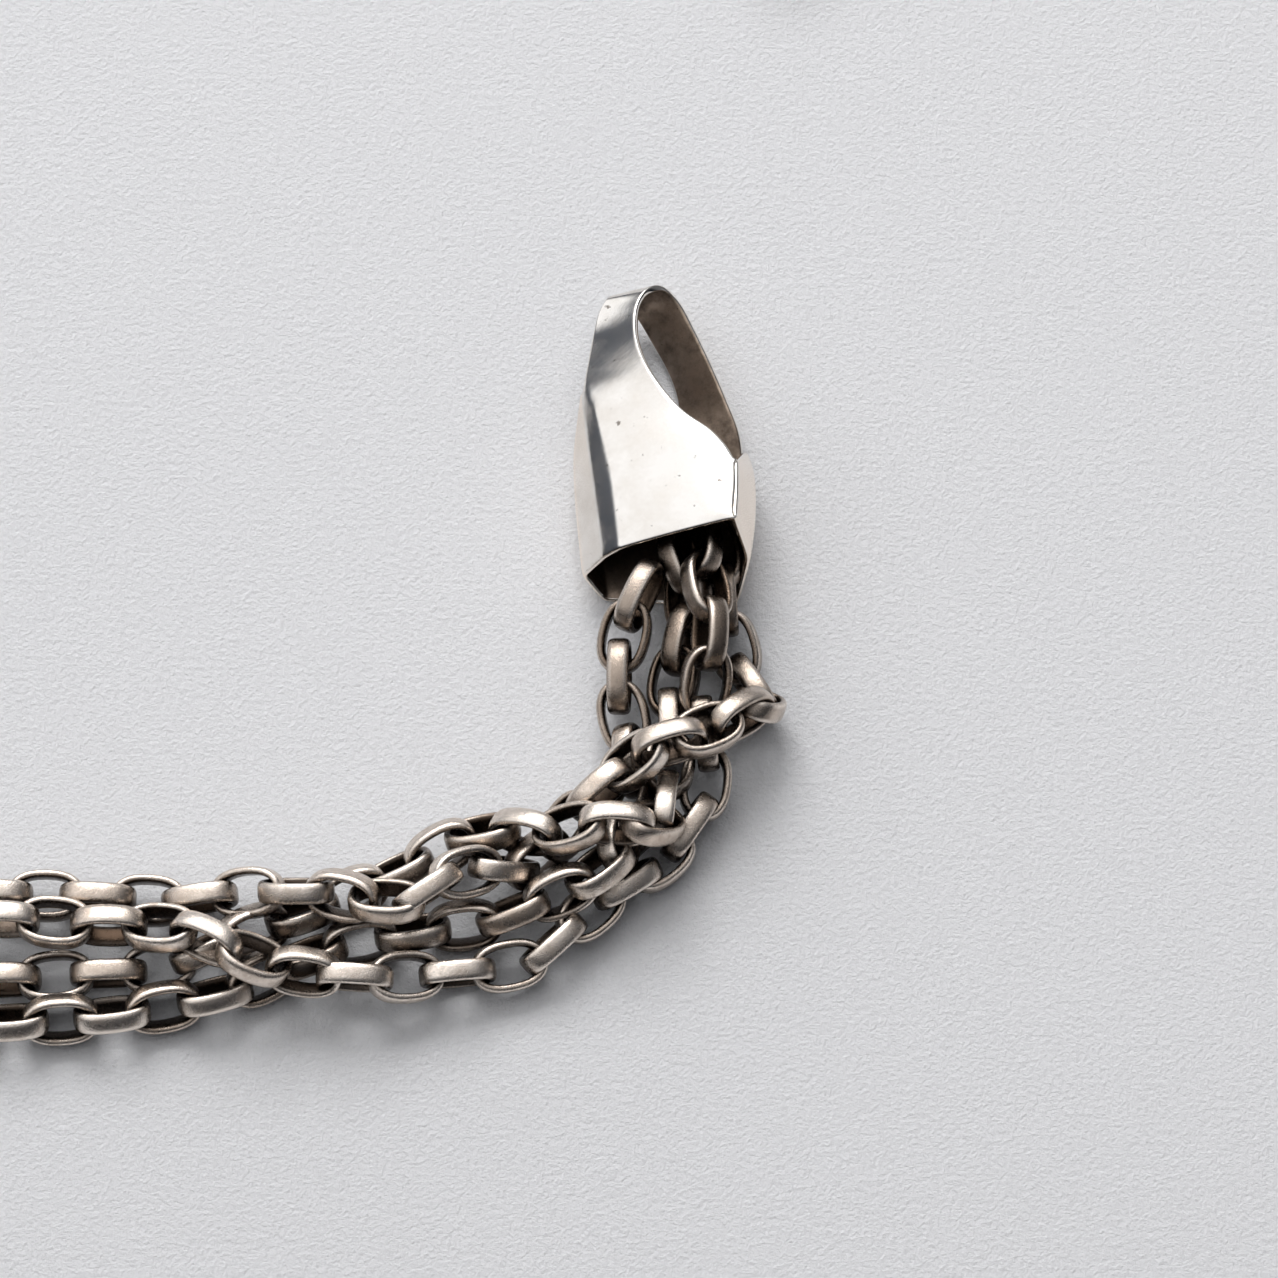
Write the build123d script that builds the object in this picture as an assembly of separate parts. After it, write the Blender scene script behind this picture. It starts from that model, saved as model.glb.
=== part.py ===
from build123d import *
import math
import os

# Four strand silver necklace with a folded sheet cap on each end, in millimetres.
# It lies on a surface at Z = 0, unclasped, as an open round. X is to the right and Y away from
# a person who looks at the first cap with its mouth towards them.

# Sheet caps, in their own frame: mouth centre on the floor at 0, 0, bail towards +Y.
SHEET = 0.28
CAP_LENGTH = 12.7
CAP_WIDTH = 6.6
CAP_HEIGHT = 5.2
WEB_DEPTH = 3.3
WEB_THICKNESS = 0.5
STRAND_EXIT = 0.5
WALL_OVERLAP = 0.02

# Chain links that the strands stand for: a strand's thickness is the mean of a link's
# width and of its strap's width.
LINK_WIDTH = 2.08
LINK_STRAP = 0.88
STRAND_DIAMETER = (LINK_WIDTH + LINK_STRAP) / 2

# Loop that the necklace lies in.
LOOP_RADIUS = 66.0
LOOP_CENTRE = (-60.0, 50.0)
LANE_SPACING = 2.1
FAR_MOUTH = (5.0, 50.0)
BEND_SHARE = 0.45
FLOOR_HEIGHT = STRAND_DIAMETER / 2

# Hook at the far end, in one plane that leans as the bail does.
HOOK_WIRE = 0.8
HOOK_EYE_RADIUS = 2.1
HOOK_BOW_RADIUS = 1.7
HOOK_SHANK = 3.0
HOOK_HEIGHT = 1.9
HOOK_REACH = 0.7
HOOK_LEAN = 40.0
HOOK_SIDE = 0.17
HOOK_TURN = 215.0

# Stations along the folded sheet, from the front mouth over the bail to the rear mouth.
# Columns: left x and right x as shares of the width, left y and right y as shares of the
# length, left z and right z as shares of the height.
SHEET_STATIONS = [
    # left x, right x, left y, right y, left z, right z
    (-0.39, 0.38, 0.028, 0.084, 0.53, 0.97),
    (-0.45, 0.39, 0.290, 0.293, 0.51, 0.92),
    (-0.48, 0.27, 0.400, 0.400, 0.50, 0.87),
    (-0.50, 0.08, 0.495, 0.490, 0.49, 0.80),
    (-0.52, -0.09, 0.615, 0.617, 0.46, 0.74),
    (-0.49, -0.18, 0.740, 0.743, 0.43, 0.70),
    (-0.46, -0.20, 0.835, 0.835, 0.40, 0.67),
    (-0.43, -0.18, 0.915, 0.913, 0.36, 0.63),
    (-0.38, -0.12, 0.972, 0.968, 0.29, 0.55),
    (-0.30, -0.03, 0.985, 0.980, 0.20, 0.46),
    (-0.21, 0.06, 0.945, 0.945, 0.12, 0.38),
    (-0.10, 0.15, 0.860, 0.860, 0.07, 0.33),
    (0.02, 0.26, 0.735, 0.735, 0.05, 0.30),
    (0.06, 0.35, 0.622, 0.622, 0.04, 0.27),
    (-0.05, 0.43, 0.520, 0.510, 0.03, 0.22),
    (-0.30, 0.45, 0.400, 0.400, 0.027, 0.12),
    (-0.44, 0.44, 0.270, 0.270, 0.027, 0.03),
    (-0.40, 0.40, -0.032, -0.056, 0.027, 0.027),
]

# Side walls: top edge, bulge and foot, in the same shares.
# Columns: top x, y, z, then bulge x, y, z, then foot x, y, z.
LEFT_WALL = [
    (-0.390, 0.028, 0.53, -0.52, 0.003, 0.30, -0.395, -0.032, 0.027),
    (-0.450, 0.290, 0.51, -0.57, 0.310, 0.28, -0.435, 0.270, 0.027),
    (-0.480, 0.400, 0.50, -0.575, 0.430, 0.28, -0.295, 0.400, 0.030),
    (-0.515, 0.580, 0.47, -0.54, 0.570, 0.40, -0.500, 0.550, 0.330),
]
RIGHT_WALL = [
    (0.380, 0.084, 0.97, 0.47, 0.020, 0.55, 0.395, -0.056, 0.027),
    (0.388, 0.200, 0.94, 0.505, 0.175, 0.54, 0.435, 0.160, 0.028),
    (0.390, 0.293, 0.92, 0.50, 0.380, 0.55, 0.445, 0.430, 0.150),
]

# Where each strand is held inside a cap: x and height.
SLOTS = {
    "strand_1": (1.4, 1.15),
    "strand_2": (-0.35, 1.15),
    "strand_3": (-2.0, 1.15),
    "strand_4": (0.8, 2.9),
}

# Lane of each strand on the hidden way round, counted outwards from the middle of the four.
LANES = {"strand_1": -1.5, "strand_4": -0.5, "strand_2": 0.5, "strand_3": 1.5}

# Chosen points of each strand from the first cap's mouth to where the loop begins.
ROUTES = {
    "strand_1": [
        (2.5, -2.6, 1.3), (3.8, -5.2, 2.1), (2.9, -7.3, 3.1), (0.6, -7.9, 3.3),
        (-1.6, -8.5, 3.2), (-3.1, -9.7, 2.3), (-4.1, -11.2, 0.8), (-5.4, -12.4, 0.9),
        (-7.4, -13.2, 2.2), (-10.3, -14.2, 2.6), (-13.3, -13.4, 2.6), (-16.3, -12.9, 1.7),
        (-19.6, -13.1, 0.74), (-23.4, -13.0, 0.74), (-28.0, -13.1, 0.74), (-36.0, -13.6, 0.74),
    ],
    "strand_2": [
        (0.3, -2.2, 1.15), (0.1, -4.6, 1.0), (0.1, -7.4, 0.8), (0.1, -9.7, 1.6),
        (-0.6, -11.9, 3.2), (-2.4, -12.2, 3.7), (-4.6, -11.6, 3.2), (-6.6, -11.0, 2.1),
        (-8.9, -11.4, 0.8), (-11.8, -12.9, 0.74), (-15.2, -14.7, 0.74), (-19.0, -16.2, 0.74),
        (-23.0, -16.7, 0.74), (-28.0, -17.1, 0.74), (-36.0, -17.7, 0.74),
    ],
    "strand_3": [
        (-2.1, -3.0, 0.9), (-1.8, -6.4, 0.8), (-1.6, -9.4, 0.8), (-1.9, -12.1, 1.7),
        (-3.3, -14.0, 2.7), (-5.5, -14.5, 1.3), (-8.3, -14.6, 0.78), (-12.2, -15.8, 0.74),
        (-16.0, -17.0, 0.74), (-19.4, -18.2, 0.74), (-23.4, -18.9, 0.74), (-28.0, -19.3, 0.74),
        (-36.0, -19.8, 0.74),
    ],
    "strand_4": [
        (1.6, -2.2, 3.1), (1.6, -4.9, 2.5), (1.7, -7.3, 1.0), (1.8, -9.6, 0.74),
        (0.8, -12.0, 0.74), (-1.5, -14.0, 0.74), (-4.2, -16.0, 0.76), (-7.6, -16.8, 0.8),
        (-11.0, -17.5, 1.3), (-14.2, -17.6, 2.4), (-17.2, -16.5, 2.6), (-20.2, -15.2, 2.2),
        (-23.6, -15.0, 1.7), (-28.0, -15.1, 0.8), (-36.0, -15.6, 0.74),
    ],
}

# Hidden way round: turns about the loop's centre, in degrees clockwise from its near side.
LOOP_TURNS = [-2, 24, 54, 84, 114, 144, 174, 204, 230]
FAR_APPROACH = [(0.9, 27.0), (0.6, 12.0), (0.2, 4.5)]


def share(x, y, z):
    """A point of the cap from its shares of width, length and height."""
    return Vector(x * CAP_WIDTH, y * CAP_LENGTH, z * CAP_HEIGHT)


def quad(a, b, c, d):
    """A flat four cornered face."""
    return Face(Wire.make_polygon([a, b, c, d], close=True))


def sheet_strip():
    """The folded strip: front leaf, bail and rear leaf, one sheet thick."""
    lefts = [share(r[0], r[2], r[4]) for r in SHEET_STATIONS]
    rights = [share(r[1], r[3], r[5]) for r in SHEET_STATIONS]
    middles = [(a + b) * 0.5 for a, b in zip(lefts, rights)]
    sections = []
    last = len(middles) - 1
    for k, (a, b) in enumerate(zip(lefts, rights)):
        along = middles[min(k + 1, last)] - middles[max(k - 1, 0)]
        out = (b - a).cross(along).normalized() * (SHEET / 2)
        sections.append(quad(a - out, b - out, b + out, a + out))
    return Solid.make_loft([face.outer_wire() for face in sections], ruled=True)


def wall(rows, side):
    """A side wall between the leaves, bent once along its bulge."""
    solids = []
    for upper in (True, False):
        sections = []
        for row in rows:
            top, bulge, foot = share(*row[0:3]), share(*row[3:6]), share(*row[6:9])
            a, b = (top, bulge) if upper else (bulge, foot)
            down = (b - a).normalized() * WALL_OVERLAP
            out = Vector(side * SHEET / 2, 0, 0)
            sections.append(quad(a - down - out, b + down - out, b + down + out, a - down + out))
        solids.append(Solid.make_loft([face.outer_wire() for face in sections], ruled=True))
    return solids


def web():
    """The plate across the inside that the strands are soldered to."""
    near = WEB_DEPTH
    corners = [
        (-0.455 * CAP_WIDTH, near, SHEET * 0.6),
        (0.43 * CAP_WIDTH, near, SHEET * 0.6),
        (0.385 * CAP_WIDTH, near, 0.90 * CAP_HEIGHT),
        (-0.44 * CAP_WIDTH, near, 0.50 * CAP_HEIGHT),
    ]
    plate = quad(*[Vector(*c) for c in corners])
    return Solid.extrude(plate, Vector(0, WEB_THICKNESS, 0))


def end_cap():
    """One cap: strip, two side walls and the inner web, soldered into one solid."""
    strip = sheet_strip()
    return strip.fuse(*wall(LEFT_WALL, -1), *wall(RIGHT_WALL, 1), web())


def far_cap_place():
    """The far cap lies the other way round, its mouth towards +Y."""
    return Location((FAR_MOUTH[0], FAR_MOUTH[1], 0), (0, 0, 180))


def hook_clasp():
    """A wire eye through the far bail, a shank and an open bow, in one plane."""
    eye = Torus(HOOK_EYE_RADIUS, HOOK_WIRE / 2)
    shank_top = -HOOK_EYE_RADIUS
    shank_foot = shank_top - HOOK_SHANK
    bow_centre = (-HOOK_BOW_RADIUS, shank_foot)
    shank = Line((0, shank_top), (0, shank_foot))
    bow = CenterArc(bow_centre, HOOK_BOW_RADIUS, 0, -HOOK_TURN)
    path = Wire([shank, bow])
    section = Plane((0, shank_top, 0), z_dir=(0, -1, 0)) * Circle(HOOK_WIRE / 2)
    hook = sweep(section, path=path)
    flat = eye.fuse(hook).solid()
    x = FAR_MOUTH[0] + HOOK_SIDE * CAP_WIDTH
    y = FAR_MOUTH[1] - CAP_LENGTH - HOOK_REACH
    return Location((x, y, HOOK_HEIGHT), (0, HOOK_LEAN, 0)) * flat


def strand_points(name):
    """The whole route of a strand, web to web."""
    slot_x, slot_z = SLOTS[name]
    lane = LANES[name] * LANE_SPACING
    points = [(slot_x, WEB_DEPTH, slot_z), (slot_x, STRAND_EXIT, slot_z)] + list(ROUTES[name])
    for turn in LOOP_TURNS:
        angle = math.radians(turn)
        radius = LOOP_RADIUS + lane
        x = LOOP_CENTRE[0] - radius * math.sin(angle)
        y = LOOP_CENTRE[1] - radius * math.cos(angle)
        points.append((x, y, FLOOR_HEIGHT))
    far_x = FAR_MOUTH[0] - slot_x
    for spread, above in FAR_APPROACH:
        x = far_x * (1 - spread) + (FAR_MOUTH[0] + lane) * spread
        z = slot_z * (1 - spread) + FLOOR_HEIGHT * spread
        points.append((x, FAR_MOUTH[1] + above, z))
    points.append((far_x, FAR_MOUTH[1] - STRAND_EXIT, slot_z))
    points.append((far_x, FAR_MOUTH[1] - WEB_DEPTH, slot_z))
    return [Vector(*p) for p in points]


def bend_radii(points):
    """The radius at each corner of a route, as large as its two runs allow."""
    radii = []
    for before, corner, after in zip(points, points[1:], points[2:]):
        into, out = corner - before, after - corner
        turn = math.radians(into.get_angle(out))
        radii.append(BEND_SHARE * min(into.length, out.length) / math.tan(turn / 2))
    return radii


def strand(name):
    """A strand as a tube along its route."""
    points = strand_points(name)
    radii = bend_radii(points)
    print(name, "radii", [round(r, 1) for r in radii], "smallest", round(min(radii), 2))
    path = FilletPolyline(*points, radius=radii)
    section = Plane(path @ 0, z_dir=path % 0) * Circle(STRAND_DIAMETER / 2)
    tube = sweep(section, path=path)
    expected = math.pi * STRAND_DIAMETER ** 2 / 4 * path.length
    print(name, "length", round(path.length, 1), "volume", round(tube.volume, 1), "of", round(expected, 1))
    return tube.solid()


def main():
    os.makedirs("parts", exist_ok=True)
    nodes = {
        "end_cap_1": end_cap(),
        "end_cap_2": far_cap_place() * end_cap(),
        "hook_clasp": hook_clasp(),
    }
    for name in ROUTES:
        nodes[name] = strand(name)
    boxes = [shape.bounding_box() for shape in nodes.values()]
    middle_x = (min(box.min.X for box in boxes) + max(box.max.X for box in boxes)) / 2
    middle_y = (min(box.min.Y for box in boxes) + max(box.max.Y for box in boxes)) / 2
    print("middle", round(middle_x, 3), round(middle_y, 3))
    to_middle = Location((-middle_x, -middle_y, 0))
    for name, shape in nodes.items():
        placed = to_middle * shape
        print(name, placed.is_valid, len(placed.solids()), round(placed.volume, 2))
        export_step(placed, f"parts/{name}.step")


main()
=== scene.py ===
"""Four strand silver cable chain with folded sheet end caps, dressed on its CAD frame, in metres."""
import math
import random

import bmesh
import bpy
import numpy as np
from mathutils import Matrix, Vector


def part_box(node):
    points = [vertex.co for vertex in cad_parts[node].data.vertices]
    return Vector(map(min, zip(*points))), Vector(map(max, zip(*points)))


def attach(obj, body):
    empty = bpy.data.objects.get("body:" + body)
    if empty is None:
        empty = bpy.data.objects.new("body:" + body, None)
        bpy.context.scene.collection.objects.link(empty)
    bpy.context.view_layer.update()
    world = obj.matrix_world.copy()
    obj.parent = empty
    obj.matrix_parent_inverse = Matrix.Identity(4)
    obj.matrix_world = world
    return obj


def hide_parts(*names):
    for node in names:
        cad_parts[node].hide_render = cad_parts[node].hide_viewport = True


# Sizes, in metres, as in the CAD source.
SHEET = 0.00028
CAP_LENGTH = 0.0127
CAP_WIDTH = 0.0066
CAP_HEIGHT = 0.0052
WEB_DEPTH = 0.0033
WEB_THICKNESS = 0.0005
LOOP_RADIUS = 0.066
LOOP_CENTRE = (-0.060, 0.050)
FAR_MOUTH = (0.005, 0.050)

# Lowest x and y of the first cap in its own frame, which is shifted to where the frame has it.
CAP_LOW_X = -0.003951
CAP_LOW_Y = -0.000718

# Spacing of the strands on the plain way round: wider than in the CAD source, so that links clear.
LANE_SPACING = 0.0023

# One link: a ring of flat wire with round ends, worn round at its edges.
LINK_LENGTH = 0.00310
LINK_WIDTH = 0.00208
LINK_THICKNESS = 0.00034
LINK_STRAP = 0.00086
LINK_SQUARENESS = 2.4
STRAP_ROUNDING = 0.55
STRAP_OUTER_ROUNDING = 0.95
LINK_RING_STEPS = 32
LINK_WIRE_STEPS = 12

# The links of a strand: their pitch, the height of their middles on the floor, and how near and
# how far the middles of two neighbours may be.
LINK_PITCH = 0.00206
LINK_FLOOR = 0.00105
LINK_NEAREST = 0.00130
LINK_FURTHEST = 0.00210

# Turn of the links on the plain way round in degrees, how far it wanders from link to link, and
# over how many links it comes about.
LOOP_ROLL = 45
ROLL_WANDER = 9
ROLL_LINKS = 8

# Settling the links: rounds, the gap wanted between links, how much of an overlap one round moves
# and turns them by, the largest turn in degrees, and when pairs that are near are looked for again.
SETTLE_ROUNDS = 60
LINK_GAP = 0.00003
MOVE_SHARE = 0.22
TURN_SHARE = 0.2
MOST_TURN = 3
NEAR_MARGIN = 0.0002
NEAR_ROUNDS = 6
SPACING_PASSES = 2

# How far from a cap's mouth the links are darker, and how much tarnish and darker tone they take
# there: partly tarnish and partly painted shade.
MOUTH_DARKENED_REACH = 0.0095
MOUTH_TARNISH_AND_SHADE = 0.65
MOUTH_SHADE = 0.95

# Each link's tarnish from how inward its metal faces, its random darker tone and its worn rims,
# between bounds.
TARNISH_START = 0.40
TARNISH_RISE = 2.0
TARNISH_BOUNDS = (0.8, 1.0)
LINK_TONE_BOUNDS = (0.0, 0.65)
RIM_BOUNDS = (0.4, 0.9)

# Smooth steps of a curve from one row of a table to the next.
SHEET_STEPS = 5
ROUTE_STEPS = 24
LOOP_STEPS = 40

# Stations along the folded sheet, from the front mouth over the bail to the rear mouth.
SHEET_STATIONS = [
    # left x, right x, left y, right y, left z, right z, as shares of width, length and height
    (-0.39, 0.38, 0.028, 0.084, 0.53, 0.97),
    (-0.45, 0.39, 0.290, 0.293, 0.51, 0.92),
    (-0.48, 0.27, 0.400, 0.400, 0.50, 0.87),
    (-0.50, 0.08, 0.495, 0.490, 0.49, 0.80),
    (-0.52, -0.09, 0.615, 0.617, 0.46, 0.74),
    (-0.49, -0.18, 0.740, 0.743, 0.385, 0.635),
    (-0.46, -0.20, 0.835, 0.835, 0.335, 0.565),
    (-0.43, -0.18, 0.908, 0.913, 0.36, 0.525),
    (-0.38, -0.12, 0.950, 0.964, 0.38, 0.50),
    (-0.30, -0.03, 0.968, 0.982, 0.31, 0.44),
    (-0.21, 0.06, 0.945, 0.945, 0.16, 0.38),
    (-0.10, 0.15, 0.860, 0.860, 0.07, 0.33),
    (0.02, 0.26, 0.735, 0.735, 0.05, 0.30),
    (0.06, 0.35, 0.622, 0.622, 0.04, 0.27),
    (-0.05, 0.43, 0.520, 0.510, 0.03, 0.22),
    (-0.30, 0.45, 0.400, 0.400, 0.027, 0.12),
    (-0.44, 0.44, 0.270, 0.270, 0.027, 0.03),
    (-0.40, 0.40, -0.032, -0.056, 0.027, 0.027),
]

# Left wall beside stations 0 to 4: bulge x, y, z, then foot x, y, z, in the same shares.
LEFT_WALL = [
    (-0.520, 0.003, 0.30, -0.395, -0.032, 0.027),
    (-0.570, 0.310, 0.28, -0.435, 0.270, 0.027),
    (-0.575, 0.430, 0.28, -0.295, 0.400, 0.030),
    (-0.550, 0.520, 0.37, -0.470, 0.500, 0.240),
    (-0.522, 0.612, 0.45, -0.520, 0.610, 0.440),
]

# Stations from the mouth over which the left wall's foot is the rear leaf's edge.
LEFT_FOOT_STATIONS = 2

# Right wall, from the mouth inwards: free top edge x, y, z, then bulge x, y, z.
RIGHT_WALL = [
    (0.380, 0.084, 0.97, 0.470, 0.020, 0.55),
    (0.388, 0.175, 0.945, 0.505, 0.150, 0.54),
    (0.390, 0.260, 0.930, 0.500, 0.310, 0.55),
    (0.390, 0.293, 0.920, 0.452, 0.405, 0.48),
]

# Stations of the rear leaf's edge that the right wall stands on.
RIGHT_WALL_STATIONS = 2.25

# Shares of the way down a wall where its grid has rows: to the bulge, then to the foot.
WALL_UPPER = (0.0, 0.10, 0.40, 0.80)
WALL_LOWER = (0.0, 0.25, 0.60, 1.0)

# Shares across the folded strip where its grid has columns.
LEAF_COLUMNS = (0.0, 0.05, 0.10, 0.15, 0.20, 0.34, 0.56, 0.78, 0.93, 1.0)

# How far the front leaf is crowned, and how fast the crown grows to that with the leaf's width.
LEAF_CROWN = 0.00012
CROWN_RISE = 1.4

# The rolled strip beside the leaf's left fold: its share of the width and its slope. It and the
# crown run out over the station after LEAF_END.
FOLD_SHARE = 0.15
FOLD_SLOPE = 0.30
LEAF_END = 3.4

# Corners of the plate inside a cap: x and z as shares of width and height. Its edges are rounded.
WEB_CORNERS = [(-0.455, 0.032), (0.43, 0.032), (0.385, 0.90), (-0.44, 0.50)]
WEB_EDGE = 0.00008

# Where each strand is held inside the far cap, in that cap's own frame: x and height.
SLOTS = {
    "strand_1": (0.0014, 0.00115),
    "strand_2": (-0.00035, 0.00115),
    "strand_3": (-0.0020, 0.00115),
    "strand_4": (0.0008, 0.0029),
}

# Lane of each strand on the plain way round, counted outwards from the middle of the four.
LANES = {"strand_1": -1.5, "strand_4": -0.5, "strand_2": 0.5, "strand_3": 1.5}

# A few links of each strand, chosen along the CAD route: x, y, z, roll in degrees,
# and links since the one before.
ROUTES = {
    "strand_1": [
        (0.0016, 0.0031, 0.0015, 70, 0),
        (0.0022, -0.0008, 0.0015, 75, 2),
        (0.0023, -0.0024, 0.0013, 60, 1),
        (0.0025, -0.0043, 0.0013, 78, 1),
        (0.0030, -0.0063, 0.0019, 80, 1),
        (0.0027, -0.0072, 0.0032, 88, 1),
        (0.0018, -0.0076, 0.0030, 90, 1),
        (0.0002, -0.0078, 0.0037, 66, 1),
        (-0.0028, -0.0096, 0.0026, 85, 2),
        (-0.0051, -0.0123, 0.0016, 60, 2),
        (-0.0077, -0.0135, 0.0026, 40, 2),
        (-0.0112, -0.0144, 0.0030, -20, 2),
        (-0.0148, -0.0138, 0.0024, -65, 2),
        (-0.0186, -0.0138, 0.0011, -82, 2),
        (-0.0227, -0.0136, 0.0011, -82, 2),
        (-0.0268, -0.0135, 0.0011, -82, 2),
        (-0.0309, -0.0136, 0.0011, -82, 2),
    ],
    "strand_2": [
        (-0.0001, 0.0021, 0.0022, -30, 0),
        (0.0009, -0.0009, 0.0019, -40, 2),
        (0.0007, -0.0026, 0.0015, -25, 1),
        (0.0000, -0.0044, 0.0012, -10, 1),
        (0.0001, -0.0078, 0.0013, 0, 2),
        (-0.0002, -0.0116, 0.0030, -12, 2),
        (-0.0020, -0.0121, 0.0038, -5, 1),
        (-0.0059, -0.0112, 0.0024, -15, 2),
        (-0.0090, -0.0117, 0.0013, -50, 2),
        (-0.0125, -0.0133, 0.0011, -48, 2),
        (-0.0164, -0.0151, 0.0011, -50, 2),
        (-0.0203, -0.0166, 0.0011, -78, 2),
        (-0.0243, -0.0170, 0.0011, -87, 2),
        (-0.0284, -0.0171, 0.0011, -90, 2),
        (-0.0325, -0.0172, 0.0011, -90, 2),
    ],
    "strand_3": [
        (-0.0005, 0.0005, 0.0026, -10, 0),
        (-0.0012, -0.0012, 0.0027, -10, 1),
        (-0.0020, -0.0026, 0.0022, -5, 1),
        (-0.0017, -0.0061, 0.0015, -10, 2),
        (-0.0012, -0.0095, 0.0011, -35, 2),
        (-0.0014, -0.0113, 0.0019, -40, 1),
        (-0.0027, -0.0130, 0.0027, -42, 1),
        (-0.0043, -0.0140, 0.0021, -42, 1),
        (-0.0080, -0.0146, 0.0011, -45, 2),
        (-0.0122, -0.0156, 0.0011, -45, 2),
        (-0.0161, -0.0169, 0.0011, -45, 2),
        (-0.0200, -0.0181, 0.0011, -45, 2),
        (-0.0240, -0.0187, 0.0011, -45, 2),
        (-0.0280, -0.0189, 0.0011, -45, 2),
        (-0.0321, -0.0191, 0.0011, -45, 2),
    ],
    "strand_4": [
        (0.0008, 0.0029, 0.0024, 40, 0),
        (0.0016, -0.0009, 0.0031, 45, 2),
        (0.0015, -0.0030, 0.0029, 15, 1),
        (0.0014, -0.0050, 0.0027, 8, 1),
        (0.0015, -0.0070, 0.0019, 0, 1),
        (0.0008, -0.0108, 0.0011, 8, 2),
        (-0.0016, -0.0129, 0.0011, 20, 2),
        (-0.0028, -0.0140, 0.0011, 25, 1),
        (-0.0064, -0.0160, 0.0011, 10, 2),
        (-0.0104, -0.0172, 0.0015, 10, 2),
        (-0.0145, -0.0173, 0.0025, 38, 2),
        (-0.0185, -0.0160, 0.0025, 72, 2),
        (-0.0225, -0.0149, 0.0021, 86, 2),
        (-0.0266, -0.0148, 0.0021, 88, 2),
        (-0.0307, -0.0148, 0.0021, 88, 2),
    ],
}

# Plain way round: turns about the loop's centre in degrees. Up to the first number, a turn counts
# only where its point lies beyond the last of the strand's own links.
LOOP_START = 90
LOOP_TURNS = [-2, 24, 54, 84, 114, 144, 174, 204, 230]

# Points before the far cap: share of the lane's place, the rest being the slot's, and the distance
# from the mouth. A strand's last points lie just inside the mouth and at the plate.
FAR_APPROACH = [(0.9, 0.0270), (0.6, 0.0120), (0.2, 0.0045)]
FAR_INSIDE = 0.0005

# The silver's ramps: dull patches, dark specks and the painted warm reflection on steep faces, as
# stops of place and colour.
PATCH_STOPS = [(0.40, (0, 0, 0)), (0.68, (1, 1, 1))]
SPECK_STOPS = [(0.70, (0, 0, 0)), (0.76, (0.75, 0.75, 0.75))]
PAINTED_REFLECTION_STOPS = [(0.30, (0.9, 0.9, 0.9)), (0.65, (0, 0, 0))]

# How much finer than the patches the specks and the pits are, and how strong the pits are.
SPECK_FINENESS = 7
PIT_FINENESS = 9
PIT_STRENGTH = 0.5

# Floor: half its width, its grain's scale and depth, and its tones.
FLOOR_REACH = 2.0
FLOOR_GRAIN = 4200.0
FLOOR_GRAIN_DEPTH = 0.00018
FLOOR_STOPS = [(0.3, (0.88, 0.88, 0.895)), (0.7, (0.94, 0.94, 0.955))]

# Room: tones along the way to its bright side, and darker tones low down, which they are
# multiplied by.
ROOM_SIDE = (-0.45, 0.50, 0.74)
ROOM_STOPS = [
    (0.0, (0.12, 0.122, 0.13)),
    (0.32, (0.16, 0.162, 0.17)),
    (0.58, (0.82, 0.82, 0.83)),
    (0.74, (1.0, 1.0, 1.01)),
]
ROOM_UP = (0.0, 0.15, 1.0)
ROOM_LOW_STOPS = [(0.0, (0.05, 0.055, 0.065)), (0.30, (0.12, 0.13, 0.15)), (0.44, (1, 1, 1))]

# What camera and lights look at, in the first cap's frame.
AIM = (-0.00124, -0.0025, 0.00124)

# Lights: name, direction that it shines from, distance, width, height and radiance.
LIGHTS = [
    ("window", (-0.613, 0.326, 0.72), 0.40, 0.70, 0.35, 0.12),
    ("key", (-0.15, 0.70, 0.78), 0.45, 0.25, 0.25, 6.0),
]

# Camera: degrees above the floor, distance, angle of view in degrees, and the width of its sensor.
CAMERA_ELEVATION = 67.0
CAMERA_DISTANCE = 0.4
CAMERA_VIEW = 7.313
CAMERA_SENSOR = 36.0

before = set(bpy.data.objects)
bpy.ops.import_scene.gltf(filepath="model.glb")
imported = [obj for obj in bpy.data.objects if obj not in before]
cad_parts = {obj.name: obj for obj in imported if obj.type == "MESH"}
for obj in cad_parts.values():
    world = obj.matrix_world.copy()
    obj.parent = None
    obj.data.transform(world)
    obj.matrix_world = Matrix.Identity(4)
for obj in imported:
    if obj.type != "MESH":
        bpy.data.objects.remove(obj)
random.seed(7)
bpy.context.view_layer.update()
cap_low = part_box("end_cap_1")[0]
SHIFT = np.array([cap_low.x - CAP_LOW_X, cap_low.y - CAP_LOW_Y, 0.0])


def unit(vector):
    """The vector's direction, at length one."""
    return vector / np.linalg.norm(vector)


def blend(first, second, start, end, at):
    """Goes evenly from the first value at start to the second at end."""
    return ((end - at) * first + (at - start) * second) / (end - start)


def curve_through(rows, per):
    """A smooth curve through rows of numbers, with per steps from each row to the next."""
    shortest = 1e-7
    points = np.array(rows, float)
    points = np.vstack([2 * points[0] - points[1], points, 2 * points[-1] - points[-2]])
    curve = []
    for i in range(1, len(points) - 2):
        four = points[i - 1:i + 3]
        knots = [0.0]
        for one, two in zip(four, four[1:]):
            knots.append(knots[-1] + max(np.linalg.norm((two - one)[:3]), shortest) ** 0.5)
        at = np.linspace(knots[1], knots[2], per, endpoint=False)[:, None]
        three = [blend(four[k], four[k + 1], knots[k], knots[k + 1], at) for k in range(3)]
        pair = [blend(three[k], three[k + 1], knots[k], knots[k + 2], at) for k in range(2)]
        curve.append(blend(pair[0], pair[1], knots[1], knots[2], at))
    curve.append(points[-2][None])
    return np.vstack(curve)


def node(tree, kind, where, **values):
    """A shader node with its settings."""
    made = tree.nodes.new(kind)
    made.location = where
    for key, value in values.items():
        setattr(made, key, value)
    return made


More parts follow.
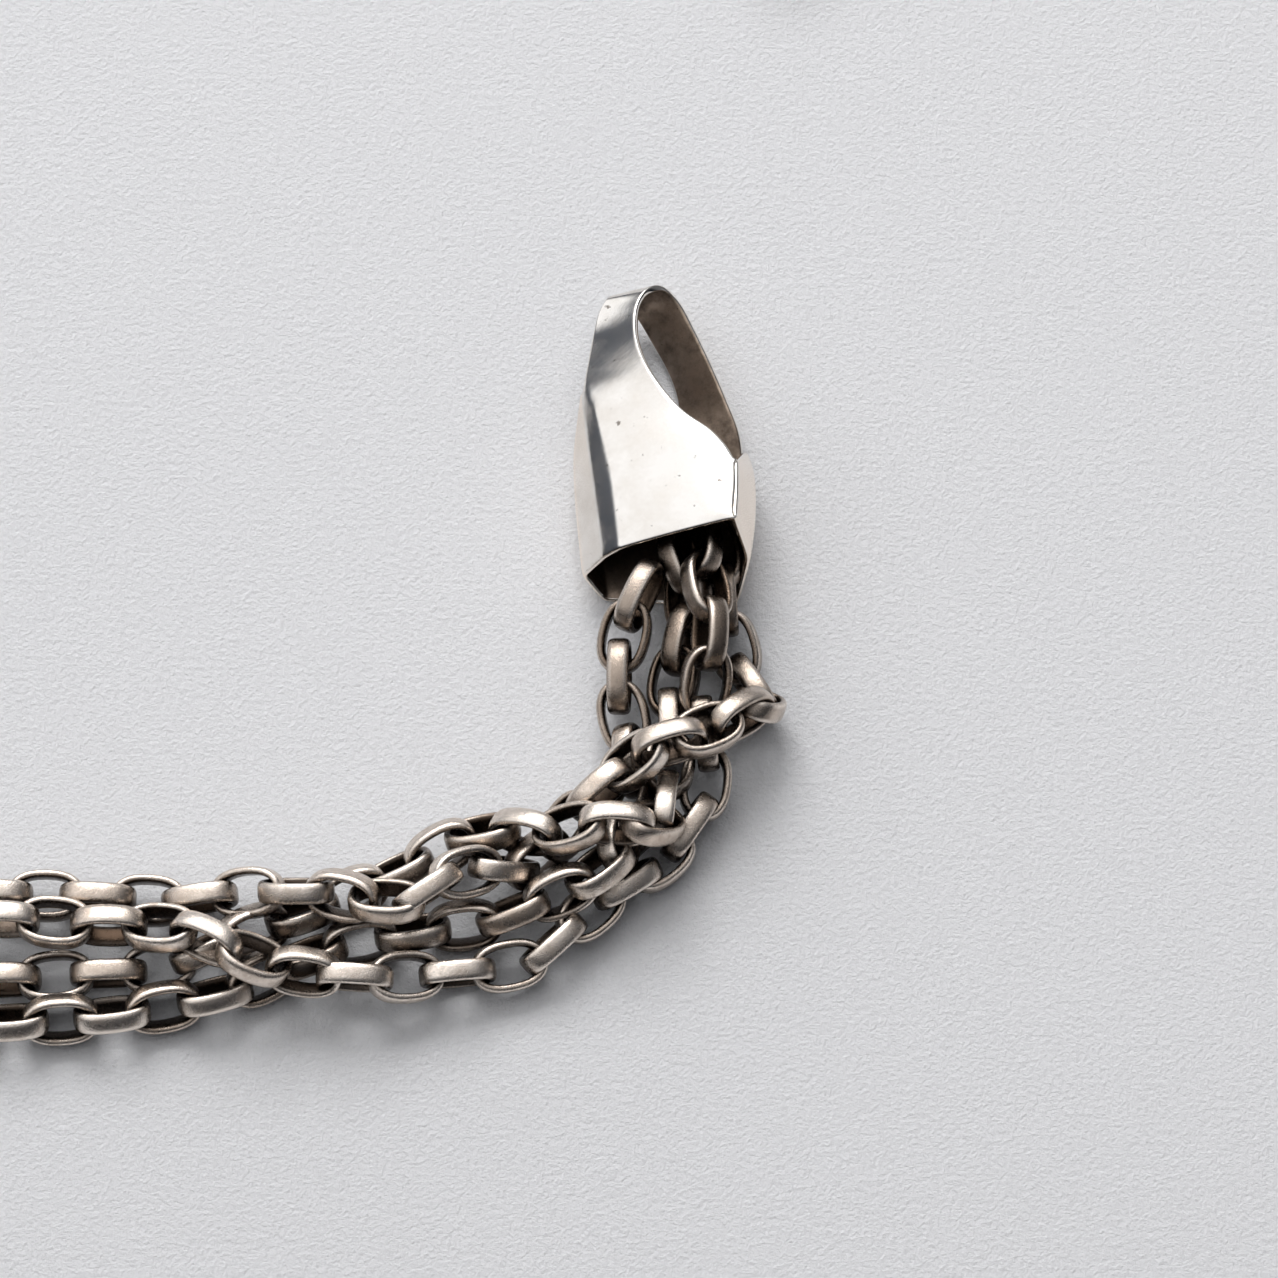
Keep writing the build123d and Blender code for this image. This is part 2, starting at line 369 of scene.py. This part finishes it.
def ramp(tree, where, stops):
    """A colour ramp with the given (place, colour) stops."""
    made = node(tree, "ShaderNodeValToRGB", where)
    band = made.color_ramp
    while len(band.elements) < len(stops):
        band.elements.new(0.5)
    for element, (place, colour) in zip(band.elements, stops):
        element.position = place
        element.color = (*colour, 1.0)
    return made


def noise(tree, where, coordinates, scale, detail, roughness):
    """A noise texture on the given coordinates."""
    made = node(tree, "ShaderNodeTexNoise", where)
    made.inputs["Scale"].default_value = scale
    made.inputs["Detail"].default_value = detail
    made.inputs["Roughness"].default_value = roughness
    tree.links.new(coordinates, made.inputs["Vector"])
    return made


def mix_colour(tree, where, factor, a, b, how="MIX"):
    """A colour mix. factor, a and b are sockets or plain values."""
    made = node(tree, "ShaderNodeMix", where, data_type="RGBA", blend_type=how)
    for socket, value in ((made.inputs[0], factor), (made.inputs[6], a), (made.inputs[7], b)):
        if isinstance(value, bpy.types.NodeSocket):
            tree.links.new(value, socket)
        else:
            socket.default_value = value if isinstance(value, float) else (*value, 1.0)
    return made.outputs[2]


def new_material(name):
    """An empty node material and its main shader."""
    material = bpy.data.materials.new(name)
    material.use_nodes = True
    tree = material.node_tree
    tree.nodes.clear()
    output = node(tree, "ShaderNodeOutputMaterial", (900, 0))
    shader = node(tree, "ShaderNodeBsdfPrincipled", (600, 0))
    tree.links.new(shader.outputs["BSDF"], output.inputs["Surface"])
    return material, tree, shader


def bump_surface(tree, grain, strength, distance, shader):
    """Bumps a shader's surface by a grain."""
    bump = node(tree, "ShaderNodeBump", (200, -400))
    bump.inputs["Strength"].default_value = strength
    bump.inputs["Distance"].default_value = distance
    tree.links.new(grain.outputs["Fac"], bump.inputs["Height"])
    tree.links.new(bump.outputs["Normal"], shader.inputs["Normal"])


def patchy(tree, place, patch_scale, bright, dull, dark):
    """Bright metal with dull patches and dark specks, and the mask of the dull patches."""
    patches = noise(tree, (-1000, 300), place, patch_scale, 5.0, 0.65)
    spread = ramp(tree, (-800, 300), PATCH_STOPS)
    tree.links.new(patches.outputs["Fac"], spread.inputs["Fac"])
    base = mix_colour(tree, (-500, 300), spread.outputs["Color"], bright, dull)
    specks = noise(tree, (-1000, 0), place, patch_scale * SPECK_FINENESS, 2.0, 0.6)
    speck_mask = ramp(tree, (-800, 0), SPECK_STOPS)
    tree.links.new(specks.outputs["Fac"], speck_mask.inputs["Fac"])
    return mix_colour(tree, (-300, 300), speck_mask.outputs["Color"], base, dark), spread


def painted_reflection_on_steep_faces(tree, base, sides):
    """The base colour, going over to another one on steep faces: a painted warm reflection."""
    facing = node(tree, "ShaderNodeNewGeometry", (-1000, 600))
    upward = node(tree, "ShaderNodeSeparateXYZ", (-800, 600))
    tree.links.new(facing.outputs["Normal"], upward.inputs["Vector"])
    steep = ramp(tree, (-600, 600), PAINTED_REFLECTION_STOPS)
    tree.links.new(upward.outputs["Z"], steep.inputs["Fac"])
    return mix_colour(tree, (-200, 500), steep.outputs["Color"], base, sides)


def link_wear(tree, base, bright, dull, dark):
    """The base colour with the tarnish, tone and worn rims that each link's mesh holds; near a cap's
    mouth the tarnish and tone also carry painted shade.
    """
    worn = node(tree, "ShaderNodeAttribute", (-800, -250), attribute_name="tarnish")
    base = mix_colour(tree, (-100, 300), worn.outputs["Fac"], base, dark)
    # Each link's random darker tone, which near a cap's mouth also holds painted shade.
    shade = node(tree, "ShaderNodeAttribute", (-800, -450), attribute_name="link_tone_and_mouth_shade")
    base = mix_colour(tree, (0, 200), shade.outputs["Fac"], base, dull, "MULTIPLY")
    rim = node(tree, "ShaderNodeAttribute", (-800, -650), attribute_name="rim")
    return mix_colour(tree, (100, 200), rim.outputs["Fac"], base, bright)


def hollow_tarnish_and_painted_shade(tree, base, crevice, fade, dark):
    """The base colour, darkened in crevices of the given size by ambient occlusion: partly tarnish in
    hollows, partly painted shade under and between parts.
    """
    hollow = node(tree, "ShaderNodeAmbientOcclusion", (-500, -200), samples=8)
    hollow.inputs["Distance"].default_value = crevice
    depth = ramp(tree, (-300, -200), [(fade[0], (1, 1, 1)), (fade[1], (0, 0, 0))])
    tree.links.new(hollow.outputs["AO"], depth.inputs["Fac"])
    return mix_colour(tree, (200, 200), depth.outputs["Color"], base, dark)


def silver(name, tones, rough, patch_scale, crevice, fade, pits, sides=None, links=False):
    """Aged silver in bright, dull and dark tones: patches, pits, and dark crevices that are partly
    tarnish and partly painted shade.

    Its roughness lies between the two numbers of rough. It is all dark where a place is less open
    than the first number of fade, and not darkened where it is more open than the second: painted
    shade as well as tarnish.
    """
    bright, dull, dark = tones
    material, tree, shader = new_material(name)
    place = node(tree, "ShaderNodeTexCoord", (-1200, 0)).outputs["Object"]
    base, spread = patchy(tree, place, patch_scale, bright, dull, dark)
    # On steep faces, when sides is given, a warmer colour as a painted reflection.
    if sides:
        base = painted_reflection_on_steep_faces(tree, base, sides)
    if links:
        base = link_wear(tree, base, bright, dull, dark)
    # Darkening by ambient occlusion: tarnish in hollows, and painted shade under and between parts.
    base = hollow_tarnish_and_painted_shade(tree, base, crevice, fade, dark)
    tree.links.new(base, shader.inputs["Base Color"])
    shader.inputs["Metallic"].default_value = 1.0
    sheen = node(tree, "ShaderNodeMapRange", (200, -100))
    sheen.inputs["To Min"].default_value = rough[0]
    sheen.inputs["To Max"].default_value = rough[1]
    tree.links.new(spread.outputs["Color"], sheen.inputs["Value"])
    tree.links.new(sheen.outputs["Result"], shader.inputs["Roughness"])
    fine = noise(tree, (-300, -500), place, patch_scale * PIT_FINENESS, 5.0, 0.7)
    bump_surface(tree, fine, PIT_STRENGTH, pits, shader)
    return material


def mesh_object(name, vertices, faces, materials):
    """A smooth mesh object with its materials."""
    mesh = bpy.data.meshes.new(name)
    mesh.from_pydata([tuple(v) for v in vertices], [], faces)
    for material in materials:
        mesh.materials.append(material)
    mesh.polygons.foreach_set("use_smooth", [True] * len(mesh.polygons))
    made = bpy.data.objects.new(name, mesh)
    bpy.context.scene.collection.objects.link(made)
    return made


# Materials.
CAP_SILVER = silver(
    "cap_silver",
    tones=[(0.89, 0.865, 0.83), (0.74, 0.70, 0.65), (0.09, 0.066, 0.05)],
    rough=(0.10, 0.22),
    patch_scale=420.0,
    crevice=0.0008,
    fade=(0.15, 0.5),
    pits=0.000010,
    # A warmer, brighter colour on the cap's steep faces: a painted reflection.
    sides=(0.97, 0.86, 0.75),
)
# Inside faces of the caps and their plates: the cap's silver again in much darker, browner tones, as
# painted shade.
CAP_INSIDE_PAINTED_SHADE = silver(
    "cap_inside_painted_shade",
    tones=[(0.40, 0.315, 0.25), (0.13, 0.098, 0.076), (0.02, 0.015, 0.012)],
    rough=(0.30, 0.48),
    patch_scale=1300.0,
    crevice=0.0030,
    fade=(0.12, 0.62),
    pits=0.00002,
)
CHAIN_SILVER = silver(
    "chain_silver",
    tones=[(0.92, 0.83, 0.745), (0.58, 0.49, 0.415), (0.045, 0.030, 0.021)],
    rough=(0.17, 0.36),
    patch_scale=1600.0,
    crevice=0.0030,
    fade=(0.16, 0.72),
    pits=0.00003,
    links=True,
)


def share(row):
    """Points of the cap from shares of width, length and height."""
    return np.array(row, float).reshape(-1, 3) * (CAP_WIDTH, CAP_LENGTH, CAP_HEIGHT)


def add_grid(vertices, faces, rows, flip=False):
    """Adds a grid of quads whose rows are lists of points."""
    start = len(vertices)
    width = len(rows[0])
    for row in rows:
        vertices.extend(row)
    for i in range(len(rows) - 1):
        for j in range(width - 1):
            a = start + i * width + j
            quad = (a, a + 1, a + width + 1, a + width)
            faces.append(quad[::-1] if flip else quad)


def wall_row(edge, bulge, foot):
    """Points down a wall: straight from its edge to its bulge, and on to its foot."""
    upper = [edge + (bulge - edge) * t for t in WALL_UPPER]
    return upper + [bulge + (foot - bulge) * t for t in WALL_LOWER]


def strip_rows(left, right):
    """Rows of points across the folded strip, crowned and rolled where it is the front leaf."""
    last = len(left) - 1
    middle = (left + right) / 2
    rows = []
    for k in range(last + 1):
        across = right[k] - left[k]
        along_strip = middle[min(k + 1, last)] - middle[max(k - 1, 0)]
        out = unit(np.cross(across, along_strip))
        wide = np.linalg.norm(across)
        on_leaf = min(1.0, max(0.0, LEAF_END + 1 - k / SHEET_STEPS))
        crown = LEAF_CROWN * min(1.0, wide / CAP_WIDTH * CROWN_RISE) * on_leaf
        fold = FOLD_SHARE * on_leaf
        row = []
        for c in LEAF_COLUMNS:
            rolled = FOLD_SLOPE * wide * min(c, fold * (1 - c) / (1 - fold))
            row.append(left[k] + across * c + out * (crown * 4 * c * (1 - c) + rolled))
        rows.append(row)
    return rows


def left_wall_rows(left):
    """Rows of points down the left wall, from the strip's left edge to its foot."""
    last = len(left) - 1
    bulges = curve_through([share(row[0:3])[0] for row in LEFT_WALL], SHEET_STEPS)
    feet = curve_through([share(row[3:6])[0] for row in LEFT_WALL], SHEET_STEPS)
    rows = []
    for k in range(len(bulges)):
        foot = left[last - k] if k <= LEFT_FOOT_STATIONS * SHEET_STEPS else feet[k]
        rows.append(wall_row(left[k], bulges[k], foot))
    return rows


def right_wall_rows(right):
    """Rows of points down the right wall, from its free top edge to the rear leaf's edge."""
    last = len(right) - 1
    count = int(RIGHT_WALL_STATIONS * SHEET_STEPS)
    steps = np.linspace(0, (len(RIGHT_WALL) - 1) * SHEET_STEPS, count + 1)
    tops = curve_through([share(row[0:3])[0] for row in RIGHT_WALL], SHEET_STEPS)
    sides = curve_through([share(row[3:6])[0] for row in RIGHT_WALL], SHEET_STEPS)
    index = np.arange(len(tops))
    rows = []
    for k, step in enumerate(steps):
        top = np.array([np.interp(step, index, tops[:, c]) for c in range(3)])
        side = np.array([np.interp(step, index, sides[:, c]) for c in range(3)])
        rows.append(wall_row(top, side, right[last - k]))
    return rows


def weld(made):
    """Joins the points that a mesh has twice."""
    work = bmesh.new()
    work.from_mesh(made.data)
    bmesh.ops.remove_doubles(work, verts=work.verts, dist=1e-6)
    work.to_mesh(made.data)
    work.free()
    made.data.polygons.foreach_set("use_smooth", [True] * len(made.data.polygons))


def cap(name, nodes, place):
    """One end cap: folded strip and side walls as one sheet piece."""
    size = (CAP_WIDTH, CAP_LENGTH, CAP_HEIGHT)
    table = np.array(SHEET_STATIONS)
    left = curve_through(table[:, [0, 2, 4]] * size, SHEET_STEPS)
    right = curve_through(table[:, [1, 3, 5]] * size, SHEET_STEPS)
    vertices, faces = [], []
    add_grid(vertices, faces, strip_rows(left, right))
    add_grid(vertices, faces, left_wall_rows(left), flip=True)
    add_grid(vertices, faces, right_wall_rows(right))
    made = mesh_object(name, vertices, faces, [CAP_SILVER, CAP_INSIDE_PAINTED_SHADE])
    weld(made)
    made.data.transform(place)
    thick = made.modifiers.new("thickness", "SOLIDIFY")
    thick.thickness = SHEET
    thick.offset = 0.0
    # The sheet's inner side takes the darker inside silver: painted shade.
    thick.material_offset = 1
    thick.use_even_offset = True
    fine = made.modifiers.new("smooth", "SUBSURF")
    fine.levels = 2
    fine.render_levels = 2
    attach(made, "root")
    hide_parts(*nodes)
    return made


def web(name, cap_piece, place):
    """The plate across the inside of a cap, parented to the cap."""
    near, far = WEB_DEPTH, WEB_DEPTH + WEB_THICKNESS
    vertices = [(x * CAP_WIDTH, y, z * CAP_HEIGHT) for y in (near, far) for x, z in WEB_CORNERS]
    faces = [(0, 1, 2, 3), (7, 6, 5, 4), (0, 4, 5, 1), (1, 5, 6, 2), (2, 6, 7, 3), (3, 7, 4, 0)]
    made = mesh_object(name, vertices, faces, [CAP_INSIDE_PAINTED_SHADE])
    made.data.transform(place)
    edge = made.modifiers.new("edge", "BEVEL")
    edge.width = WEB_EDGE
    edge.segments = 2
    made.parent = cap_piece


def signed_power(value, power):
    """A power of a number's size, with the number's sign."""
    return math.copysign(abs(value) ** power, value)


def link_spine():
    """The middle line of a link's ring: x, y and the outward direction at each step."""
    long_half = (LINK_LENGTH - LINK_THICKNESS) / 2
    wide_half = (LINK_WIDTH - LINK_THICKNESS) / 2
    spine = []
    for k in range(LINK_RING_STEPS):
        angle = 2 * math.pi * k / LINK_RING_STEPS
        x = signed_power(math.cos(angle), 2 / LINK_SQUARENESS) * long_half
        y = signed_power(math.sin(angle), 2 / LINK_SQUARENESS) * wide_half
        out_x = signed_power(x / long_half, LINK_SQUARENESS - 1) / long_half
        out_y = signed_power(y / wide_half, LINK_SQUARENESS - 1) / wide_half
        size = math.hypot(out_x, out_y)
        spine.append((x, y, out_x / size, out_y / size))
    return spine


def link_section():
    """The section of a link's strap: how far out and up each point is, how inward and how worn."""
    section = []
    for k in range(LINK_WIRE_STEPS):
        angle = 2 * math.pi * (k + 0.5) / LINK_WIRE_STEPS
        c, s = math.cos(angle), math.sin(angle)
        rounding = STRAP_OUTER_ROUNDING if c > 0 else STRAP_ROUNDING
        out = signed_power(c, rounding) * LINK_THICKNESS / 2
        up = signed_power(s, STRAP_ROUNDING) * LINK_STRAP / 2
        worn = 4 * (c * s) ** 2 if c > 0 else 0.0
        section.append((out, up, 0.5 - 0.5 * c, worn))
    return section


def link_shape():
    """A link flat at the origin, its length along X: points, faces, how inward and worn each is."""
    points, inward, rim = [], [], []
    section = link_section()
    for x, y, out_x, out_y in link_spine():
        for out, up, deep, worn in section:
            points.append((x + out_x * out, y + out_y * out, up))
            inward.append(deep)
            rim.append(worn)
    faces = []
    for i in range(LINK_RING_STEPS):
        here = i * LINK_WIRE_STEPS
        there = (i + 1) % LINK_RING_STEPS * LINK_WIRE_STEPS
        for j in range(LINK_WIRE_STEPS):
            beside = (j + 1) % LINK_WIRE_STEPS
            faces.append((here + j, there + j, there + beside, here + beside))
    return np.array(points), faces, np.array(inward), np.array(rim)


def lane_point(name, turn):
    """A point of the plain way round, on the strand's lane."""
    radius = LOOP_RADIUS + LANES[name] * LANE_SPACING
    angle = math.radians(turn)
    x = LOOP_CENTRE[0] - radius * math.sin(angle)
    y = LOOP_CENTRE[1] - radius * math.cos(angle)
    return (x, y, LINK_FLOOR)


def far_points(name):
    """The last points of a strand, into the far cap."""
    slot_x, slot_z = SLOTS[name]
    far_x = FAR_MOUTH[0] - slot_x
    far_z = max(LINK_FLOOR, slot_z)
    lane_x = FAR_MOUTH[0] + LANES[name] * LANE_SPACING
    points = []
    for spread, above in FAR_APPROACH:
        x = far_x * (1 - spread) + lane_x * spread
        z = far_z * (1 - spread) + LINK_FLOOR * spread
        points.append((x, FAR_MOUTH[1] + above, z))
    points.append((far_x, FAR_MOUTH[1] - FAR_INSIDE, far_z))
    points.append((far_x, FAR_MOUTH[1] - WEB_DEPTH, far_z))
    return points


def along(points, count):
    """count + 1 points at equal steps along a dense line."""
    run = np.concatenate([[0], np.cumsum(np.linalg.norm(np.diff(points[:, :3], axis=0), axis=1))])
    at = np.linspace(0, run[-1], count + 1)
    return np.stack([np.interp(at, run, points[:, c]) for c in range(points.shape[1])], axis=1)


def plain_way(name, start):
    """Points of a strand from the last of its chosen links, the plain way round to the far cap."""
    points = [start]
    for turn in LOOP_TURNS:
        point = lane_point(name, turn)
        if turn > LOOP_START or point[0] < start[0]:
            points.append(point)
    return points + far_points(name)


def link_centres(name):
    """Centre and roll of every link of a strand, cap to cap."""
    rows = ROUTES[name]
    chosen = np.array([row[:4] for row in rows])
    line = curve_through(chosen, ROUTE_STEPS)
    centres = []
    for k, row in enumerate(rows[1:]):
        part = along(line[k * ROUTE_STEPS:(k + 1) * ROUTE_STEPS + 1], row[4])
        centres.extend(part[:-1])
    line = curve_through(plain_way(name, tuple(chosen[-1][:3])), LOOP_STEPS)
    length = np.linalg.norm(np.diff(line, axis=0), axis=1).sum()
    pairs = round(length / LINK_PITCH / 2)
    start_roll = chosen[-1][3]
    loop_roll = math.copysign(LOOP_ROLL, start_roll)
    for k, point in enumerate(along(line, 2 * pairs)):
        ease = min(1.0, k / ROLL_LINKS)
        wander = random.uniform(-ROLL_WANDER, ROLL_WANDER) * ease
        centres.append([*point, start_roll + (loop_roll - start_roll) * ease + wander])
    return np.array(centres)


def link_frames(centres, parts):
    """Middle of every link, and its long, width and ring axes as the rows of a matrix."""
    before = np.arange(len(centres)) - 1
    after = before + 2
    for start, end in parts:
        before[start] = start
        after[end - 1] = end - 1
    place = centres[:, :3]
    ahead = place[after] - place[before]
    ahead /= np.linalg.norm(ahead, axis=1)[:, None]
    mid = (place * 2 + place[before] + place[after]) / 4
    up = np.array([0, 0, 1.0]) - ahead * ahead[:, 2:3]
    up /= np.linalg.norm(up, axis=1)[:, None]
    side = np.cross(up, ahead)
    turn = centres[:, 3].copy()
    for start, end in parts:
        turn[start + 1:end:2] += 90
    roll = np.radians(turn)[:, None]
    ring = up * np.cos(roll) + side * np.sin(roll)
    return mid, np.stack([ahead, np.cross(ring, ahead), ring], axis=1)


def depth_in_link(local):
    """How deep points lie in a link's metal, and the nearest way out, in the link's own frame."""
    half = (LINK_LENGTH - LINK_WIDTH) / 2
    radius = (LINK_WIDTH - LINK_THICKNESS) / 2
    x = np.sign(local[..., 0]) * np.maximum(np.abs(local[..., 0]) - half, 0)
    r = np.maximum(np.hypot(x, local[..., 1]), 1e-9)
    across = (LINK_THICKNESS + LINK_GAP) / 2 - np.abs(r - radius)
    through = (LINK_STRAP + LINK_GAP) / 2 - np.abs(local[..., 2])
    outward = np.sign(r - radius)
    way = np.stack([outward * x / r, outward * local[..., 1] / r, np.zeros_like(r)], axis=-1)
    axial = np.stack([np.zeros_like(r), np.zeros_like(r), np.sign(local[..., 2])], axis=-1)
    way = np.where((across < through)[..., None], way, axial)
    return np.maximum(np.minimum(across, through), 0), way


def near_pairs(mid):
    """Pairs of links that lie near enough to touch, each pair both ways round."""
    apart = np.linalg.norm(mid[:, None] - mid[None], axis=2)
    np.fill_diagonal(apart, 1.0)
    return np.nonzero(apart < LINK_LENGTH + NEAR_MARGIN)


def overlaps(surface, mid, axes, near):
    """Where a link's surface lies in another's metal: the links, the push out, its place and depth."""
    one, two = near
    local = np.einsum("npc,nkc->npk", surface[one] - mid[two][:, None], axes[two])
    depth, way = depth_in_link(local)
    deepest = depth.max(axis=1)
    hit = deepest > 0
    one, two, depth, deepest = one[hit], two[hit], depth[hit], deepest[hit]
    weight = depth / depth.sum(axis=1)[:, None]
    push = np.einsum("np,npk,nkc->nc", weight, way[hit], axes[two]) * deepest[:, None]
    where = np.einsum("np,npc->nc", weight, surface[one])
    return one, two, push, where, deepest


def keep_linked(centres, parts):
    """Keeps the middles of neighbouring links from lying too near or too far apart."""
    for start, end in parts:
        part = centres[start:end, :3]
        for _ in range(SPACING_PASSES):
            gap = part[1:] - part[:-1]
            length = np.linalg.norm(gap, axis=1)
            wanted = np.clip(length, LINK_NEAREST, LINK_FURTHEST)
            fix = gap * ((length - wanted) / length / 4)[:, None]
            part[2:-2] += fix[2:-1] - fix[1:-2]


def settle(centres, parts):
    """Moves links apart where their metal overlaps, and keeps each strand linked and on the floor.

    A strand's first and last two links stay where they are. Every second point round a link's
    strap is tried. Gives the overlaps that are left: their sum, the deepest and their number.
    """
    probe = link_shape()[0].reshape(LINK_RING_STEPS, LINK_WIRE_STEPS, 3)[:, ::2].reshape(-1, 3)
    held = np.zeros(len(centres), bool)
    for start, end in parts:
        held[start:start + 2] = True
        held[end - 2:end] = True
    for step in range(SETTLE_ROUNDS):
        mid, axes = link_frames(centres, parts)
        if step % NEAR_ROUNDS == 0:
            near = near_pairs(mid)
        surface = mid[:, None] + np.einsum("pk,nkc->npc", probe, axes)
        one, two, push, where, deepest = overlaps(surface, mid, axes, near)
        move = np.zeros((len(centres), 3))
        turn = np.zeros(len(centres))
        for link, sign in ((one, 1), (two, -1)):
            np.add.at(move, link, push * sign * MOVE_SHARE)
            lever = where - mid[link]
            twist = np.einsum("nc,nc->n", np.cross(lever, push * sign), axes[link, 0])
            swing = twist / np.einsum("nc,nc->n", lever, lever)
            np.add.at(turn, link, -np.degrees(swing) * TURN_SHARE)
        move[:, 2] += np.maximum(0.0, -surface[..., 2].min(axis=1))
        move[held] = 0
        turn[held] = 0
        centres[:, :3] += move
        centres[:, 3] += np.clip(turn, -MOST_TURN, MOST_TURN)
        keep_linked(centres, parts)
    return deepest.sum(), deepest.max(), len(deepest)


def strand(name, mid, axes):
    """A strand of interlocking links as one mesh."""
    points, faces, inward, rim = link_shape()
    vertices, quads, tarnish, shades, rims = [], [], [], [], []
    mouths = np.array([(0, 0, 0), (*FAR_MOUTH, 0)])
    for k in range(1, len(mid) - 1):
        start = (k - 1) * len(points)
        placed = mid[k] + points @ axes[k] + SHIFT
        placed[:, 2] += max(0.0, -placed[:, 2].min())
        from_mouth = np.linalg.norm(mouths - mid[k], axis=1).min()
        # Near a cap's mouth the links are darkened, partly tarnish and partly painted shade.
        dull = MOUTH_SHADE * min(1.0, max(0.0, (MOUTH_DARKENED_REACH - from_mouth) / (MOUTH_DARKENED_REACH / 2)))
        vertices.append(placed)
        quads.extend([tuple(i + start for i in face) for face in faces])
        deep = np.clip((inward - TARNISH_START) * TARNISH_RISE, 0, 1)
        tarnish.append(np.maximum(deep * random.uniform(*TARNISH_BOUNDS), MOUTH_TARNISH_AND_SHADE * dull))
        shades.append(np.full(len(points), max(random.uniform(*LINK_TONE_BOUNDS), dull)))
        rims.append(rim * random.uniform(*RIM_BOUNDS))
    made = mesh_object(name + "_links", np.vstack(vertices), quads, [CHAIN_SILVER])
    for label, values in (("tarnish", tarnish), ("link_tone_and_mouth_shade", shades), ("rim", rims)):
        layer = made.data.attributes.new(label, "FLOAT", "POINT")
        layer.data.foreach_set("value", np.concatenate(values).astype(np.float32))
    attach(made, "root")
    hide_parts(name)


def make_floor():
    """The pale surface that the necklace lies on, with a fine grain."""
    material, tree, shader = new_material("floor")
    place = node(tree, "ShaderNodeTexCoord", (-900, 0)).outputs["Object"]
    grain = noise(tree, (-700, 0), place, FLOOR_GRAIN, 6.0, 0.72)
    tone = ramp(tree, (-450, 150), FLOOR_STOPS)
    tree.links.new(grain.outputs["Fac"], tone.inputs["Fac"])
    tree.links.new(tone.outputs["Color"], shader.inputs["Base Color"])
    bump_surface(tree, grain, 1.0, FLOOR_GRAIN_DEPTH, shader)
    shader.inputs["Roughness"].default_value = 0.9
    shader.inputs["Specular IOR Level"].default_value = 0.2
    corners = [(x * FLOOR_REACH, y * FLOOR_REACH, 0) for x, y in ((-1, -1), (1, -1), (1, 1), (-1, 1))]
    return mesh_object("floor", corners, [(0, 1, 2, 3)], [material])


def directed_tone(tree, place, where, direction, stops):
    """A colour of the room that depends on how far a direction of view agrees with the given one."""
    agreement = node(tree, "ShaderNodeVectorMath", where, operation="DOT_PRODUCT")
    agreement.inputs[1].default_value = direction
    tone = ramp(tree, (where[0] + 200, where[1]), stops)
    tree.links.new(place.outputs["Generated"], agreement.inputs[0])
    tree.links.new(agreement.outputs["Value"], tone.inputs["Fac"])
    return tone.outputs["Color"]


def make_room():
    """Soft light from all round: bright above and behind on the left, dark low down and opposite."""
    world = bpy.data.worlds.new("room")
    bpy.context.scene.world = world
    world.use_nodes = True
    tree = world.node_tree
    tree.nodes.clear()
    output = node(tree, "ShaderNodeOutputWorld", (600, 0))
    light = node(tree, "ShaderNodeBackground", (400, 0))
    place = node(tree, "ShaderNodeTexCoord", (-600, 0))
    tone = directed_tone(tree, place, (-400, 0), ROOM_SIDE, ROOM_STOPS)
    low_tone = directed_tone(tree, place, (-400, -250), ROOM_UP, ROOM_LOW_STOPS)
    colour = mix_colour(tree, (100, 0), 1.0, tone, low_tone, "MULTIPLY")
    tree.links.new(colour, light.inputs["Color"])
    tree.links.new(light.outputs["Background"], output.inputs["Surface"])
    light.inputs["Strength"].default_value = 1.0


def soft_box(name, aim, direction, distance, width, height, radiance):
    """A rectangular area light of even radiance that looks at a point from a direction."""
    light = bpy.data.lights.new(name, "AREA")
    light.shape = "RECTANGLE"
    light.size = width
    light.size_y = height
    light.energy = radiance * math.pi * width * height
    made = bpy.data.objects.new(name, light)
    bpy.context.scene.collection.objects.link(made)
    back = Vector(direction).normalized()
    made.location = Vector(aim) + back * distance
    made.rotation_mode = "QUATERNION"
    made.rotation_quaternion = back.to_track_quat("Z", "Y")


def make_camera(aim):
    """The camera, above the first cap's mouth and in front of it."""
    camera = bpy.data.objects.new("camera", bpy.data.cameras.new("camera"))
    bpy.context.scene.collection.objects.link(camera)
    bpy.context.scene.camera = camera
    tilt = math.radians(CAMERA_ELEVATION)
    back = Vector((0, -math.cos(tilt), math.sin(tilt)))
    camera.location = aim + back * CAMERA_DISTANCE
    camera.rotation_mode = "QUATERNION"
    camera.rotation_quaternion = back.to_track_quat("Z", "Y")
    camera.data.sensor_width = CAMERA_SENSOR
    camera.data.lens = CAMERA_SENSOR / 2 / math.tan(math.radians(CAMERA_VIEW) / 2)
    camera.data.clip_start = 0.01
    camera.data.clip_end = 10.0


# Caps and hook.
place_1 = Matrix.Translation(Vector(SHIFT))
half_turn = Matrix.Rotation(math.pi, 4, "Z")
place_2 = Matrix.Translation(Vector(SHIFT) + Vector((*FAR_MOUTH, 0))) @ half_turn
cap_1 = cap("end_cap_1_sheet", ["end_cap_1"], place_1)
cap_2 = cap("end_cap_2_sheet", ["end_cap_2"], place_2)
web("end_cap_1_web", cap_1, place_1)
web("end_cap_2_web", cap_2, place_2)
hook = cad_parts["hook_clasp"]
hook.data.materials.clear()
hook.data.materials.append(CAP_SILVER)

# Strands: the links of all four settle together, so each strand is a part of one list.
links = [link_centres(strand_name) for strand_name in ROUTES]
parts = []
for rows in links:
    first = parts[-1][1] if parts else 0
    parts.append((first, first + len(rows)))
links = np.vstack(links)
print("overlaps left", settle(links, parts))
link_middles, link_axes = link_frames(links, parts)
for strand_name, (first, past) in zip(ROUTES, parts):
    strand(strand_name, link_middles[first:past], link_axes[first:past])

# Floor, light and camera.
floor = make_floor()
make_room()
bpy.context.scene.view_settings.view_transform = "Standard"
aim = Vector(SHIFT) + Vector(AIM)
for light_name, direction, distance, width, height, radiance in LIGHTS:
    soft_box(light_name, aim, direction, distance, width, height, radiance)
make_camera(aim)
